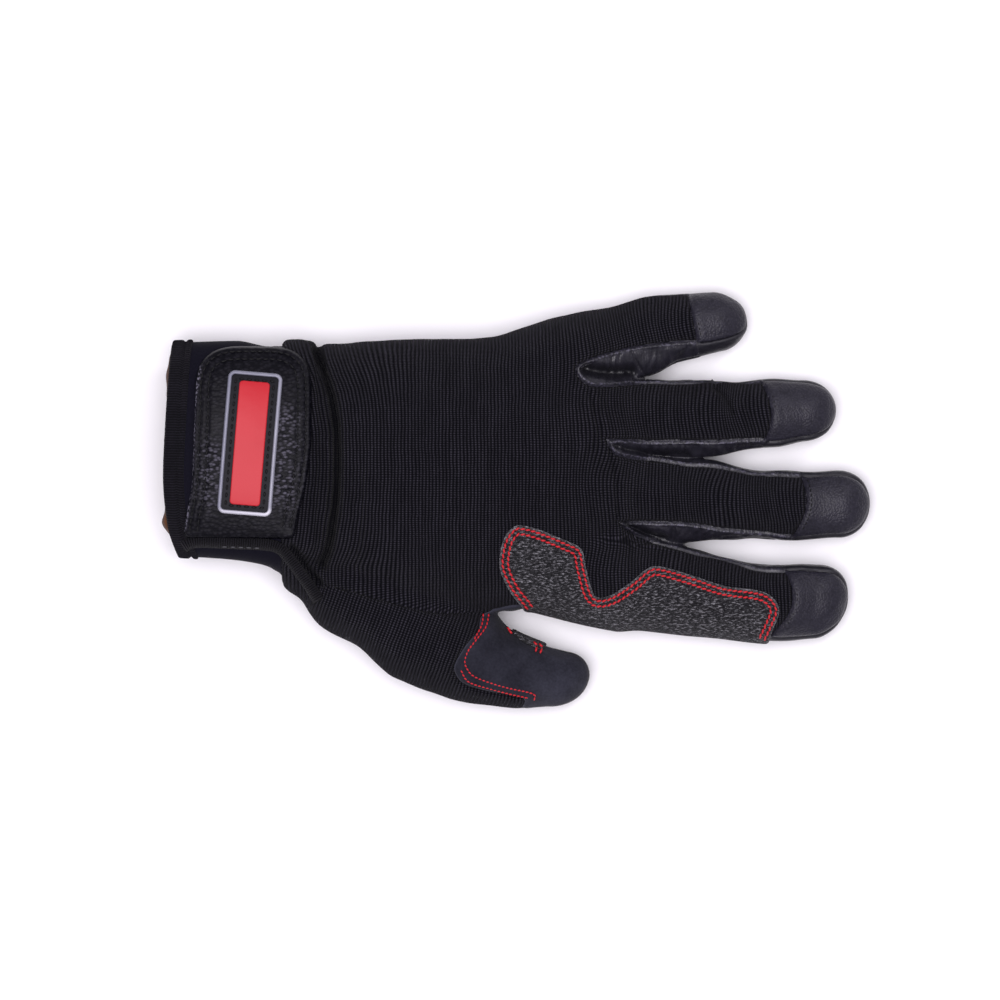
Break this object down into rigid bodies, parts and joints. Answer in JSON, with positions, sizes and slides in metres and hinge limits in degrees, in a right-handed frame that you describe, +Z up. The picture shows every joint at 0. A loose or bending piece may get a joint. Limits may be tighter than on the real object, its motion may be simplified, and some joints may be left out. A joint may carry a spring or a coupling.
{
  "type": "climbing glove",
  "caption": "Left-hand climbing glove lying palm down: knit back, leather palm and fingertips, sewn guards on thumb and index finger, wrist strap with a plain badge.",
  "frame": {"origin": "middle of the footprint, on the surface that the palm rests on", "axes": "+X from the open cuff to the fingertips, +Y towards the little finger, +Z up, out of the back of the hand"},
  "size_m": [0.2478, 0.1452, 0.0419],
  "materials": {
    "back_knit": "matte ribbed knit",
    "palm_leather": "soft grained leather, low sheen",
    "cap_leather": "pebble grained leather, low sheen",
    "side_leather": "soft creased leather, low sheen",
    "suede": "matte brushed suede",
    "guard_fabric": "heathered woven fabric, matte",
    "cuff_fabric": "smooth stretch fabric, faint sheen",
    "ribbed_tape": "ribbed elastic tape, matte",
    "lining_suede": "brushed suede lining, matte",
    "strap_leather": "grained leather, satin",
    "badge_plate": "moulded rubber, satin",
    "badge_rim": "pearly moulded rim, satin",
    "badge_field": "plain coloured field, soft gloss",
    "red_thread": "twisted sewing thread",
    "black_thread": "twisted sewing thread"
  },
  "bodies": {
    "root": {"back_knit": "back_knit", "thumb_knit": "back_knit", "palm_leather": "palm_leather", "cap_little": "cap_leather", "cap_ring": "cap_leather", "cap_middle": "cap_leather", "cap_index": "cap_leather", "fourchette_little_ring": "side_leather", "fourchette_ring_middle": "side_leather", "fourchette_middle_index": "side_leather", "thumb_suede": "suede", "guard_index": "guard_fabric", "guard_crotch": "guard_fabric", "cuff_fabric": "cuff_fabric", "cuff_binding": "ribbed_tape", "slit_tape": "ribbed_tape", "cuff_lining": "lining_suede", "wrist_strap": "strap_leather", "badge_plate": "badge_plate", "badge_rim": "badge_rim", "badge_field": "badge_field"}
  },
  "joints": []
}
